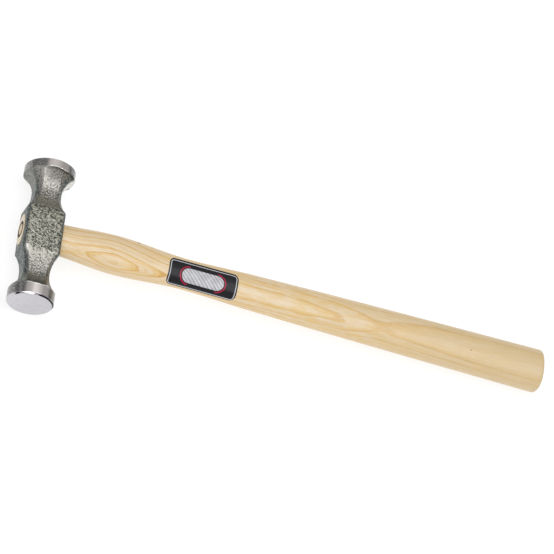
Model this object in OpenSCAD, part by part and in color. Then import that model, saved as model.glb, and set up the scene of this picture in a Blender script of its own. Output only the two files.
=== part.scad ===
// Planishing hammer: a double-faced forged head on an ash handle, held by a steel ring wedge.
// The origin is the centre of the flat striking face. +Y runs through the head to the crowned face,
// +X runs along the handle to its butt, and +Z comes up through a cheek. Sizes are in millimetres.

/* [Head] */
// Distance from the flat face to the middle of the eye
flat_reach = 44; // [42:0.5:46]
// Distance from the middle of the eye to the top of the crowned face
crown_reach = 43.2; // [42:0.2:45]
// Width of the eye block, from the side with the ring wedge to the side with the handle
block_w = 22.4; // [21:0.2:24]
// Length of the eye block along the head
block_l = 26; // [24:0.5:28]
// Thickness of the eye block, from cheek to cheek
block_t = 17.7; // [17:0.1:19]
// Chamfer along the edges of the eye block
block_chamfer = 1.3; // [0.8:0.1:2]

/* [Necks] */
// Width of both necks, in the direction of the handle
neck_w = 15.6; // [14.5:0.1:17]
// Thickness of both necks, in the direction of the cheeks
neck_t = 14.2; // [13:0.1:15]
// Chamfer on the four corners of the neck on the flat face's side
flat_neck_chamfer = 2.3; // [2:0.1:3.4]
// Chamfer on the four corners of the neck on the crowned face's side
crown_neck_chamfer = 2.8; // [2:0.1:3.4]
// Distance from the middle of the eye to where the neck on the flat face's side is thinnest
flat_neck_at = 26; // [24:0.5:27]
// Distance from the middle of the eye to where the neck on the crowned face's side is thinnest
crown_neck_at = 24.8; // [24:0.2:26]

/* [Striking faces] */
// Diameter of the flat face's rim
flat_face_d = 26.5; // [25:0.5:28]
// Length of the ground rim behind the flat face
flat_rim_l = 7; // [6:0.5:8]
// Bevel round the flat face
flat_bevel = 0.9; // [0.4:0.1:1.2]
// Diameter of the crowned face's rim
crown_face_d = 29.2; // [28:0.2:31]
// Length of the ground rim behind the crowned face
crown_rim_l = 5.1; // [4:0.1:6]
// Radius of the crown
crown_radius = 75; // [60:5:120]
// Bevel round the crowned face
crown_bevel = 0.6; // [0.3:0.1:1]

/* [Eye] */
// Half length of the eye's mouth, along the head
eye_mouth_y = 9.5; // [9:0.1:10]
// Half width of the eye's mouth, between the cheeks
eye_mouth_z = 6.15; // [5.8:0.05:6.4]
// How much the eye narrows on each side at its waist
eye_waist = 0.5; // [0.2:0.1:0.7]

/* [Handle] */
// Distance from the middle of the eye to the butt
handle_reach = 309; // [280:1:330]
// Half height of the swell behind the head
swell_y = 11.4; // [10.8:0.1:12]
// Half height of the slim waist
waist_y = 9.1; // [8.8:0.1:9.8]
// Half height of the grip, where it begins
grip_y = 10.4; // [10:0.1:11]
// Half height of the butt
butt_y = 13.2; // [12:0.1:14]
// Thickness of the handle for each unit of its height
oval = 0.75; // [0.7:0.01:0.85]
// Radius round the edge of the butt
butt_round = 2; // [1:0.5:3]
// How far the handle's end stands out of the eye
end_proud = 0.4; // [0.2:0.1:0.8]

/* [Ring wedge] */
// Outer diameter of the ring wedge
ring_d = 9; // [8:0.5:10]
// Wall of the ring wedge
ring_wall = 1; // [0.8:0.1:1.3]
// Length of the ring wedge
ring_l = 11; // [8:1:14]

/* [Label] */
// Length of the label along the handle
label_l = 42; // [35:7:42]
// Height of the label across the handle, seen square on
label_h = 15; // [13:0.5:15.5]
// Thickness of the label
label_t = 0.15; // [0.1:0.05:0.3]

/* [Hidden] */
$fn = 96;

// Head: half sizes of the octagonal section, as distances from the head's axis to its sides
block_x = block_w / 2;
block_z = block_t / 2;
block_d = (block_x + block_z - block_chamfer) / sqrt(2);
neck_x = neck_w / 2;
neck_z = neck_t / 2;
flat_neck_d = (neck_x + neck_z - flat_neck_chamfer) / sqrt(2);
crown_neck_d = (neck_x + neck_z - crown_neck_chamfer) / sqrt(2);
flat_r = flat_face_d / 2;
crown_r = crown_face_d / 2;
// Height of the crown above the edge of its face
crown_h = crown_radius - sqrt(pow(crown_radius, 2) - pow(crown_r, 2));
crown_edge = crown_reach - crown_h;
// Distance between the thinnest points of the two arcs that meet in a neck
neck_gap = 1.2;
// The flares run on a little past the rims, which then cut them to round
overrun = 0.8;
// Wider than any part of the head
clear_r = 17;

// Handle: rows of [x, half height, its slope, half thickness, its slope], with x from the middle of the eye
swell_at = 44;
waist_at = 86;
grip_at = 125;
shape_rows = [
    [block_x, eye_mouth_y, 0.03, eye_mouth_z, 0.11],
    [swell_at, swell_y, 0, swell_y * oval, 0],
    [waist_at, waist_y, 0, waist_y * oval, 0],
    [grip_at, grip_y, 0.024, grip_y * oval, 0.018],
    [handle_reach, butt_y, 0.012, butt_y * oval, 0.009]
];
// The section turns from an ellipse in the eye to a squarer oval in the grip
eye_power = 2;
grip_power = 2.25;
handle_sides = 48;
station_step = 7;
tenon_steps = 6;
end_break = 0.4;
butt_crown = 0.5;
butt_steps = 4;

// Label: it starts at a station of the handle, so that it lies on the same facets
label_stations = label_l / station_step;
label_start = 9;
label_turn = 29;
label_corner = 3;
label_margin = 0.25;
label_reach_sides = 11;

// Ring wedge: barb grooves, and a lead that is ground to an edge from outside
ring_r = ring_d / 2;
ring_proud = 0.1;
groove = 0.25;
groove_pitch = 1.6;
groove_count = 3;
lead_l = 4;
edge_w = 0.2;

// Part of a smooth step from a to b: t runs from 0 to 1, and sa and sb are the slopes times the step's length
function hermite(a, sa, b, sb, t) =
    a * (2 * pow(t, 3) - 3 * pow(t, 2) + 1) + sa * (pow(t, 3) - 2 * pow(t, 2) + t)
    + b * (3 * pow(t, 2) - 2 * pow(t, 3)) + sb * (pow(t, 3) - pow(t, 2));

// Value in column c at x, on a smooth curve through the rows
function along(x, c, i = 0) =
    i < len(shape_rows) - 2 && x > shape_rows[i + 1][0] ? along(x, c, i + 1)
    : let (p = shape_rows[i], q = shape_rows[i + 1], step = q[0] - p[0])
      hermite(p[c], p[c + 1] * step, q[c], q[c + 1] * step, (x - p[0]) / step);

// Half height and half thickness of the wood at x, which fills the waisted eye inside the head
function eye_narrowing(x) = eye_waist * (1 - pow(x / block_x, 2));
function half_y(x) = x < block_x ? eye_mouth_y - eye_narrowing(x) : along(x, 1);
function half_z(x) = x < block_x ? eye_mouth_z - eye_narrowing(x) : along(x, 3);
function power(x) = eye_power + (grip_power - eye_power) * min(1, max(0, (x - block_x) / (swell_at - block_x)));

// A point on the oval section at x: turn 0 is +Z and turn 90 is -Y. inset moves it inwards.
function signed_power(v, p) = sign(v) * pow(abs(v), p);
function oval_point(x, turn, inset = 0, at = undef) = [
    is_undef(at) ? x : at,
    -signed_power(sin(turn), 2 / power(x)) * (half_y(x) - inset),
    signed_power(cos(turn), 2 / power(x)) * (half_z(x) - inset)
];
function turn_of(i) = 360 * i / handle_sides;
function ring_at(x, inset = 0, at = undef) = [for (i = [0:handle_sides - 1]) oval_point(x, turn_of(i), inset, at)];

// Joins rings of points into a closed skin, with a middle point on each end
module loft(rings, first_x, last_x) {
    n = handle_sides;
    last = len(rings) - 1;
    points = concat([for (r = rings) each r], [[first_x, 0, 0], [last_x, 0, 0]]);
    sides = [for (s = [0:last - 1], i = [0:n - 1], half = [0, 1])
        let (a = s * n + i, b = s * n + (i + 1) % n)
        half == 0 ? [b + n, b, a] : [a + n, b + n, a]];
    caps = [for (i = [0:n - 1], end = [0, 1])
        let (a = i, b = (i + 1) % n)
        end == 0 ? [a, b, (last + 1) * n] : [last * n + b, last * n + a, (last + 1) * n + 1]];
    polyhedron(points = points, faces = concat(sides, caps));
}

// One arm of the head from the side: an arc falls from the block to the neck, and another rises to the face.
// The two meet in the neck, each a little past its thinnest point. half_block and half_neck are half sizes.
module arm_outline(half_block, half_neck, neck_at, face_r, rim_at, face_at) {
    reach = face_r + overrun;
    fall_end = neck_at - neck_gap / 2;
    fall = half_block - half_neck;
    fall_r = (pow(fall_end - block_l / 2, 2) + pow(fall, 2)) / (2 * fall);
    rise_start = neck_at + neck_gap / 2;
    rise = face_r - half_neck;
    rise_r = (pow(rim_at - rise_start, 2) + pow(rise, 2)) / (2 * rise);
    difference() {
        translate([-reach, 0])
            square([2 * reach, face_at + overrun]);
        for (side = [0, 1])
            mirror([side, 0]) {
                translate([half_block, -overrun])
                    square([clear_r, fall_end + overrun]);
                intersection() {
                    translate([half_neck + fall_r, fall_end])
                        circle(fall_r);
                    square([clear_r, rise_start]);
                }
                intersection() {
                    translate([half_neck + rise_r, rise_start])
                        circle(rise_r);
                    translate([0, fall_end])
                        square([clear_r, face_at]);
                }
            }
    }
}

// Both arms, as a slab across the head. turn 0 looks along Z, 90 along X, and 45 across the chamfers.
module forged_slab(turn, half_block, crown_neck, flat_neck) {
    rotate([0, turn, 0])
        linear_extrude(height = 4 * clear_r, center = true) {
            arm_outline(half_block, crown_neck, crown_neck_at, crown_r, crown_edge - crown_rim_l, crown_reach);
            mirror([0, 1])
                arm_outline(half_block, flat_neck, flat_neck_at, flat_r, flat_reach - flat_rim_l, flat_reach);
        }
}

// What the lathe leaves: two round rims with bevels, a flat face and a crowned one
module ground_ends() {
    rotate([-90, 0, 0])
        rotate_extrude()
            intersection() {
                polygon([
                    [0, -flat_reach],
                    [flat_r - flat_bevel, -flat_reach],
                    [flat_r, -flat_reach + flat_bevel],
                    [flat_r, -flat_neck_at],
                    [clear_r, -flat_neck_at],
                    [clear_r, crown_neck_at],
                    [crown_r, crown_neck_at],
                    [crown_r, crown_edge - crown_bevel],
                    [crown_r - crown_bevel, crown_edge],
                    [crown_r - crown_bevel, crown_reach + overrun],
                    [0, crown_reach + overrun]
                ]);
                translate([0, crown_reach - crown_radius])
                    circle(crown_radius, $fn = 360);
            }
}

// Stations of the tenon, from the ring wedge's side of the head to the handle's side
tenon_xs = [for (i = [0:tenon_steps]) -block_x + 2 * block_x * i / tenon_steps];

// The eye has the tenon's own facets, which run straight on past both sides of the head
function run_on(a, b, share) = [for (i = [0:len(a) - 1]) b[i] + (b[i] - a[i]) * share];
module eye() {
    far = len(tenon_xs) - 1;
    share = overrun / (tenon_xs[1] - tenon_xs[0]);
    loft(
        concat(
            [run_on(ring_at(tenon_xs[1]), ring_at(tenon_xs[0]), share)],
            [for (i = [1:far - 1]) ring_at(tenon_xs[i])],
            [run_on(ring_at(tenon_xs[far - 1]), ring_at(tenon_xs[far]), share)]
        ),
        -block_x - overrun,
        block_x + overrun
    );
}

module ring_solid() {
    rotate([0, 90, 0])
        rotate_extrude()
            polygon(concat(
                [[ring_r - ring_wall, 0], [ring_r, 0]],
                [for (i = [1:groove_count]) each [
                    [ring_r, i * groove_pitch],
                    [ring_r - groove, i * groove_pitch + groove]
                ]],
                [[ring_r, ring_l - lead_l], [ring_r - ring_wall + edge_w, ring_l], [ring_r - ring_wall, ring_l]]
            ));
}

module head() {
    color([0.42, 0.44, 0.43])
        translate([0, flat_reach, 0])
            difference() {
                intersection() {
                    ground_ends();
                    forged_slab(45, block_d, crown_neck_d, flat_neck_d);
                    forged_slab(-45, block_d, crown_neck_d, flat_neck_d);
                    forged_slab(0, block_x, neck_x, neck_x);
                    forged_slab(90, block_z, neck_z, neck_z);
                }
                eye();
            }
}

module handle() {
    end_x = -block_x - end_proud;
    last_x = handle_reach - butt_crown;
    free_steps = floor((last_x - butt_round - block_x) / station_step);
    color([0.9, 0.78, 0.56])
        translate([0, flat_reach, 0])
            difference() {
                loft(
                    concat(
                        [ring_at(-block_x, end_break, end_x)],
                        [for (x = tenon_xs) ring_at(x)],
                        [for (i = [1:free_steps]) ring_at(block_x + i * station_step)],
                        [for (i = [1:butt_steps])
                            let (turn = 90 * i / butt_steps)
                            ring_at(last_x, butt_round * (1 - cos(turn)), last_x - butt_round * (1 - sin(turn)))]
                    ),
                    end_x,
                    handle_reach
                );
                translate([end_x - ring_proud, 0, 0])
                    ring_solid();
            }
}

module ring_wedge() {
    color([0.3, 0.3, 0.31])
        translate([-block_x - end_proud - ring_proud, flat_reach, 0])
            ring_solid();
}

// A patch of skin on the handle's own facets, cut to a rounded rectangle
module label() {
    xs = [for (i = [0:label_stations]) block_x + (label_start + i) * station_step];
    turns = [for (i = [-label_reach_sides:label_reach_sides]) turn_of(round(label_turn / turn_of(1)) + i)];
    w = len(turns);
    n = len(xs) * w;
    points = [for (lift = [0, -label_t], x = xs, turn = turns) oval_point(x, turn, lift)];
    cells = [for (s = [0:len(xs) - 2], i = [0:w - 2], half = [0, 1])
        let (a = s * w + i, b = a + 1, c = a + w, d = c + 1)
        half == 0 ? [a, b, d] : [a, d, c]];
    rim = concat(
        [for (i = [0:w - 2]) i],
        [for (s = [0:len(xs) - 2]) s * w + w - 1],
        [for (i = [w - 1:-1:1]) (len(xs) - 1) * w + i],
        [for (s = [len(xs) - 1:-1:1]) s * w]
    );
    edges = [for (k = [0:len(rim) - 1], half = [0, 1])
        let (a = rim[k], b = rim[(k + 1) % len(rim)])
        half == 0 ? [b, a, a + n] : [b, a + n, b + n]];
    color([0.08, 0.08, 0.09])
        translate([0, flat_reach, 0])
            intersection() {
                polyhedron(
                    points = points,
                    faces = concat(cells, [for (f = cells) [f[2] + n, f[1] + n, f[0] + n]], edges)
                );
                translate([xs[0] + label_l / 2, 0, 0])
                    rotate([label_turn, 0, 0])
                        linear_extrude(height = clear_r)
                            rounded_rectangle(label_l - 2 * label_margin, label_h, label_corner);
            }
}

module rounded_rectangle(w, h, r) {
    square([w - 2 * r, h], center = true);
    square([w, h - 2 * r], center = true);
    for (x = [-1, 1], y = [-1, 1])
        translate([x * (w / 2 - r), y * (h / 2 - r)])
            circle(r);
}

head();
handle();
ring_wedge();
label();
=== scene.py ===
"""A light planishing hammer: a double-faced forged head on a lacquered ash handle, dressed for its portrait.

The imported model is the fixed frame. Its origin is the centre of the flat striking face, +Y runs through the
head to the crowned face, +X runs along the handle to its butt, and +Z comes up through a cheek. Sizes are in
millimetres, and the meshes are built in metres. On the head, t is the distance from the middle of the eye,
positive towards the crowned face.
"""

import logging
import math
from collections.abc import Sequence
from dataclasses import dataclass, field
from enum import Enum

import bpy
import numpy as np
from mathutils import Matrix, Vector

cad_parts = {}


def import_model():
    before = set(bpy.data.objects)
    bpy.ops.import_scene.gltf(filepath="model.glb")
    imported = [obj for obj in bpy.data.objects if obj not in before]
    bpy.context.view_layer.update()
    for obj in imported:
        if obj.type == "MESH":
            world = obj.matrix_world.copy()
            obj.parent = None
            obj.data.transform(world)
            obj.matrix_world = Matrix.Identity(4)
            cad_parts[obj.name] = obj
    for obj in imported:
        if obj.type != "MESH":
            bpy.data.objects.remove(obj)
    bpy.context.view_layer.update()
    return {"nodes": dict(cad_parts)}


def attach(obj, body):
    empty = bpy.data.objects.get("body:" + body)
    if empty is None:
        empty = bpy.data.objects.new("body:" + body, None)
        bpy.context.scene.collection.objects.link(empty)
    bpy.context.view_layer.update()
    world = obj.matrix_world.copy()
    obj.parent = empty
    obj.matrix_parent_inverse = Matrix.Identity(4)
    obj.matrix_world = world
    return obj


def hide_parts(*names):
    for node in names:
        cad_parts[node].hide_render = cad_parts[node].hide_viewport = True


LOG = logging.getLogger("hammer")
MM = 0.001
JUST_UNDER = 1e-6
Array = np.ndarray
Object = bpy.types.Object
Row = Sequence[float]
Pair = tuple[float, float]
Pairs = Sequence[Pair]
Triple = tuple[float, float, float]
Colour = Triple
Faces = Sequence[tuple[int, ...]]
Inputs = dict[int | str, object]


# Helpers for shapes


def soft_min(a: Array, b: Array, width: float) -> Array:
    """Return the smaller of two values, rounded over a width where they cross."""
    share = np.clip(0.5 + 0.5 * (b - a) / width, 0, 1)
    return b * (1 - share) + a * share - width * share * (1 - share)


def rise(low: Array | float, high: Array | float, value: Array) -> Array:
    """Return a smooth rise from 0 at low to 1 at high, or a fall where low is the greater."""
    share = np.clip((value - low) / (high - low), 0, 1)
    return share * share * (3 - 2 * share)


def soft_spot(t: Array, x: Array, middle: Row, reach: Row) -> Array:
    """Return 1 at a spot's middle, fading to 0 over its reach along t and x."""
    return np.exp(-(((t - middle[0]) / reach[0]) ** 2) - ((x - middle[1]) / reach[1]) ** 2)


def full_circle(sides: int) -> Array:
    """Return the angles of a ring's points, in radians."""
    return np.arange(sides) * 2 * math.pi / sides


@dataclass
class Relief:
    """Seeded gradient noise over space, used to press real relief into a surface."""

    seed: int
    count: int = 512
    gain: float = 1.5

    def __post_init__(self) -> None:
        """Draw the gradients."""
        source = np.random.default_rng(self.seed)
        self.order = source.permutation(self.count)
        gradients = source.normal(size=(self.count, 3))
        self.gradients = gradients / np.linalg.norm(gradients, axis=1)[:, None]

    def at(self, points: Array, pitch: float | Row) -> Array:
        """Return the noise, from about -1 to 1, at points.

        Args:
            points: places in millimetres, one row each.
            pitch: size of the pattern's lumps in millimetres, one value or one for each axis.

        Returns:
            One value for each point.
        """
        scaled = points / np.asarray(pitch, float)
        cell = np.floor(scaled).astype(int)
        rest = scaled - cell
        fade = rest**3 * (rest * (rest * 6 - 15) + 10)
        total = np.zeros(len(points))
        for corner in np.ndindex(2, 2, 2):
            key = np.zeros(len(points), int)
            for axis in range(3):
                key = self.order[(key + cell[:, axis] + corner[axis]) % self.count]
            weight = np.prod(np.where(np.array(corner) == 1, fade, 1 - fade), axis=1)
            total += weight * (self.gradients[key] * (rest - corner)).sum(1)
        return total * self.gain


def ring_faces(rings: int, sides: int, loop: bool = False) -> Faces:
    """Return the four-sided faces that join closed rings of points.

    Args:
        rings: number of rings, each of which follows the last.
        sides: points in a ring.
        loop: joins the last ring to the first too.

    Returns:
        Faces as tuples of point indices.
    """
    row, side = np.meshgrid(np.arange(rings if loop else rings - 1), np.arange(sides), indexing="ij")
    a, b = row * sides + side, row * sides + (side + 1) % sides
    corners = np.stack([a, b, b + sides, a + sides], -1) % (rings * sides)
    return [tuple(face) for face in corners.reshape(-1, 4).tolist()]


def put_in_scene(name: str, data: bpy.types.ID) -> Object:
    """Put an object in the scene.

    Args:
        name: its name.
        data: its mesh, light or camera.

    Returns:
        The new object.
    """
    made = bpy.data.objects.new(name, data)
    bpy.context.scene.collection.objects.link(made)
    return made


def make_piece(name: str, points: Array, faces: Faces) -> Object:
    """Make a smooth mesh object and turn its faces outwards.

    Args:
        name: its name.
        points: one row in millimetres for each point.
        faces: tuples of point indices, all wound the same way.

    Returns:
        The new object.
    """
    a, b, c = (points[[face[k] for face in faces]] for k in range(3))
    outwards = np.einsum("ij,ij->i", a - points.mean(0), np.cross(b - a, c - a)).sum() > 0
    mesh = bpy.data.meshes.new(name)
    mesh.from_pydata((points * MM).tolist(), [], [face if outwards else face[::-1] for face in faces])
    mesh.validate()
    mesh.shade_smooth()
    return put_in_scene(name, mesh)


def close_skin(name: str, rings: Sequence[Array], middles: Sequence[Row]) -> Object:
    """Make a closed object from rings of points, with a fan of triangles over each end.

    Args:
        name: its name.
        rings: the points of each ring, in order.
        middles: the points in the middle of the first ring and of the last.

    Returns:
        The new object.
    """
    count, sides = len(rings), len(rings[0])
    last, first_middle, last_middle = (count - 1) * sides, count * sides, count * sides + 1
    faces = ring_faces(count, sides)
    faces += [((side + 1) % sides, side, first_middle) for side in range(sides)]
    faces += [(last + side, last + (side + 1) % sides, last_middle) for side in range(sides)]
    return make_piece(name, np.concatenate([*rings, middles]), faces)


def put_attributes(piece: Object, table: dict[str, Array]) -> None:
    """Store numbers on a piece for its finish to read.

    Args:
        piece: what gets them.
        table: under each attribute's name, a value for each point.
    """
    for name, values in table.items():
        attribute = piece.data.attributes.new(name, "FLOAT", "POINT")
        attribute.data.foreach_set("value", np.asarray(values, np.float32))


def cut_away(piece: Object, tool: Object) -> None:
    """Cut a tool's volume out of a piece for good, and remove the tool.

    Args:
        piece: what is cut.
        tool: a closed solid.
    """
    cut = piece.modifiers.new("cut", "BOOLEAN")
    cut.operation = "DIFFERENCE"
    cut.solver = "EXACT"
    cut.object = tool
    bpy.context.view_layer.update()
    evaluated = piece.evaluated_get(bpy.context.evaluated_depsgraph_get())
    uncut, piece.data = piece.data, bpy.data.meshes.new_from_object(evaluated)
    piece.modifiers.clear()
    bpy.data.meshes.remove(uncut)
    bpy.data.objects.remove(tool)
    piece.data.name = piece.name


def dress(piece: Object, material: bpy.types.Material, crisp: float) -> None:
    """Give a piece its material, and shade it smooth apart from its crisp edges.

    Args:
        piece: what is dressed.
        material: its only material.
        crisp: least angle of a crisp edge, in degrees.
    """
    piece.data.materials.clear()
    piece.data.materials.append(material)
    piece.data.shade_smooth()
    piece.data.set_sharp_from_angle(angle=math.radians(crisp))


# Helpers for finishes


def shade(colour: Colour, factor: float) -> Colour:
    """Return a colour with its brightness multiplied."""
    return tuple(factor * part for part in colour)


@dataclass(frozen=True)
class Value:
    """What a node gives out: a number, a place or a colour. Numbers take plain arithmetic."""

    recipe: "Recipe"
    socket: bpy.types.NodeSocket

    def __add__(self, other: "Value | float") -> "Value":
        """Return the sum of two numbers."""
        return self.recipe.math("ADD", self, other)

    def __sub__(self, other: "Value | float") -> "Value":
        """Return this number less another."""
        return self.recipe.math("SUBTRACT", self, other)

    def __rsub__(self, other: float) -> "Value":
        """Return a plain number less this one."""
        return self.recipe.math("SUBTRACT", other, self)

    def __mul__(self, other: "Value | float") -> "Value":
        """Return the product of two numbers."""
        return self.recipe.math("MULTIPLY", self, other)

    def __abs__(self) -> "Value":
        """Return this number without its sign."""
        return self.recipe.math("ABSOLUTE", self)


Number = Value | float


@dataclass(frozen=True)
class Recipe:
    """The shader nodes of a material or a world, with short calls for the ones it needs."""

    owner: bpy.types.Material | bpy.types.World

    def __post_init__(self) -> None:
        """Start with no nodes."""
        self.owner.use_nodes = True
        self.owner.node_tree.nodes.clear()

    def node(self, kind: str, inputs: Inputs, **settings: object) -> bpy.types.Node:
        """Add a node.

        Args:
            kind: its type.
            inputs: for its inputs, values of other nodes or plain ones.
            settings: its own settings.

        Returns:
            The new node.
        """
        tree = self.owner.node_tree
        made = tree.nodes.new(kind)
        for key, value in settings.items():
            setattr(made, key, value)
        for key, value in inputs.items():
            socket = made.inputs[key]
            if isinstance(value, Value):
                tree.links.new(value.socket, socket)
            else:
                socket.default_value = (*value, 1.0) if socket.type == "RGBA" else value
        return made

    def value(self, kind: str, inputs: Inputs, output: int | str = 0, **settings: object) -> Value:
        """Add a node and return one of its outputs."""
        return Value(self, self.node(kind, inputs, **settings).outputs[output])

    def math(self, operation: str, a: Number, b: Number = 0.0, clamp: bool = False) -> Value:
        """Work a number out from one or two others, held from 0 to 1 where clamp is set."""
        return self.value("ShaderNodeMath", {0: a, 1: b}, operation=operation, use_clamp=clamp)

    def length(self, a: Value, b: Value) -> Value:
        """Return the length of a place's two distances."""
        return self.math("SQRT", a * a + b * b)

    def step(self, v: Value, low: float, high: float, to_low: float = 0.0, to_high: float = 1.0) -> Value:
        """Map a value smoothly from one range to another."""
        inputs = {"Value": v, "From Min": low, "From Max": high, "To Min": to_low, "To Max": to_high}
        return self.value("ShaderNodeMapRange", inputs, interpolation_type="SMOOTHSTEP")

    def band(self, value: Value, low: float, high: float, ease: float) -> Value:
        """Return 1 between two values and 0 outside them, with an ease after each."""
        return self.step(value, low, low + ease) * self.step(value, high, high + ease, 1.0, 0.0)

    def attribute(self, name: str) -> Value:
        """Return a number stored on the mesh."""
        return self.value("ShaderNodeAttribute", {}, "Fac", attribute_name=name)

    def vector(self, operation: str, a: Value, b: Value | Row) -> Value:
        """Work a vector, or a number such as a distance, out from two vectors."""
        output = "Value" if operation in ("DISTANCE", "DOT_PRODUCT") else 0
        return self.value("ShaderNodeVectorMath", {0: a, 1: b}, output, operation=operation)

    def place(self) -> Value:
        """Return the place on the piece, in millimetres."""
        return self.vector("MULTIPLY", self.value("ShaderNodeTexCoord", {}, "Object"), (1 / MM,) * 3)

    def split(self, vector: Value) -> list[Value]:
        """Return a vector's three parts."""
        return [Value(self, part) for part in self.node("ShaderNodeSeparateXYZ", {0: vector}).outputs]

    def noise(self, at: Value, scale: float | Row, detail: float = 2.0, roughness: float = 0.5) -> Value:
        """Add fractal noise.

        Args:
            at: the place.
            scale: lumps in a millimetre, one value or one for each axis.
            detail: how many finer layers it has.
            roughness: how strong they are.

        Returns:
            The noise, from 0 to 1.
        """
        if not isinstance(scale, float):
            at, scale = self.vector("MULTIPLY", at, scale), 1.0
        inputs = {"Vector": at, "Scale": scale, "Detail": detail, "Roughness": roughness}
        return self.value("ShaderNodeTexNoise", inputs, "Fac")

    def mix(self, share: Number, a: Value | Colour, b: Value | Colour) -> Value:
        """Mix two colours."""
        return self.value("ShaderNodeMix", {0: share, 6: a, 7: b}, 2, data_type="RGBA")

    def blend(self, share: Value, a: Number, b: Number) -> Value:
        """Mix two numbers."""
        return self.value("ShaderNodeMix", {0: share, 2: a, 3: b}, data_type="FLOAT")

    def lay(self, under: Value | Colour, layers: Sequence[tuple[Number, Value | Colour]]) -> Value:
        """Lay colours over a colour.

        Args:
            under: the colour under them all.
            layers: each layer's share and colour, from the lowest.

        Returns:
            The colour that shows.
        """
        for share, colour in layers:
            under = self.mix(share, under, colour)
        return under

    def curve(self, value: Value, knots: Pairs, ins: Row, outs: Row, straight: bool = False) -> Value:
        """Send a value through a curve.

        Args:
            value: the input.
            knots: pairs of input and output.
            ins: least and greatest input.
            outs: least and greatest output.
            straight: joins the knots with straight lines.

        Returns:
            The output.
        """
        (in_low, in_high), (out_low, out_high) = ins, outs
        in_span, out_span = in_high - in_low, out_high - out_low
        made = self.node("ShaderNodeFloatCurve", {"Value": (value - in_low) * (1 / in_span)})
        points = made.mapping.curves[0].points
        while len(points) < len(knots):
            points.new(0.5, 0.5)
        for point, (before, after) in zip(points, knots):
            point.location = ((before - in_low) / in_span, (after - out_low) / out_span)
            point.handle_type = "VECTOR" if straight else "AUTO_CLAMPED"
        made.mapping.update()
        return Value(self, made.outputs[0]) * out_span + out_low

    def ramp(self, value: Value, stops: Sequence[tuple[float, Colour]]) -> Value:
        """Turn a value from 0 to 1 into a colour.

        Args:
            value: the input.
            stops: pairs of position and colour.

        Returns:
            The colour.
        """
        made = self.node("ShaderNodeValToRGB", {0: value})
        elements = made.color_ramp.elements
        while len(elements) < len(stops):
            elements.new(0.5)
        for element, (position, colour) in zip(elements, stops):
            element.position = position
            element.color = (*colour, 1.0)
        return Value(self, made.outputs[0])

    def bump(self, height: Value, depth: float, under: Value | None = None) -> Value:
        """Tilt the surface, or a normal, by a height from 0 to 1 and its depth in millimetres."""
        inputs = {"Height": height, "Distance": depth * MM, "Strength": 1.0}
        return self.value("ShaderNodeBump", inputs if under is None else {**inputs, "Normal": under})

    def finish(self, inputs: Inputs) -> bpy.types.Material:
        """Close the recipe with its surface shader and return the material."""
        self.node("ShaderNodeOutputMaterial", {"Surface": self.value("ShaderNodeBsdfPrincipled", inputs)})
        return self.owner


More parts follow.
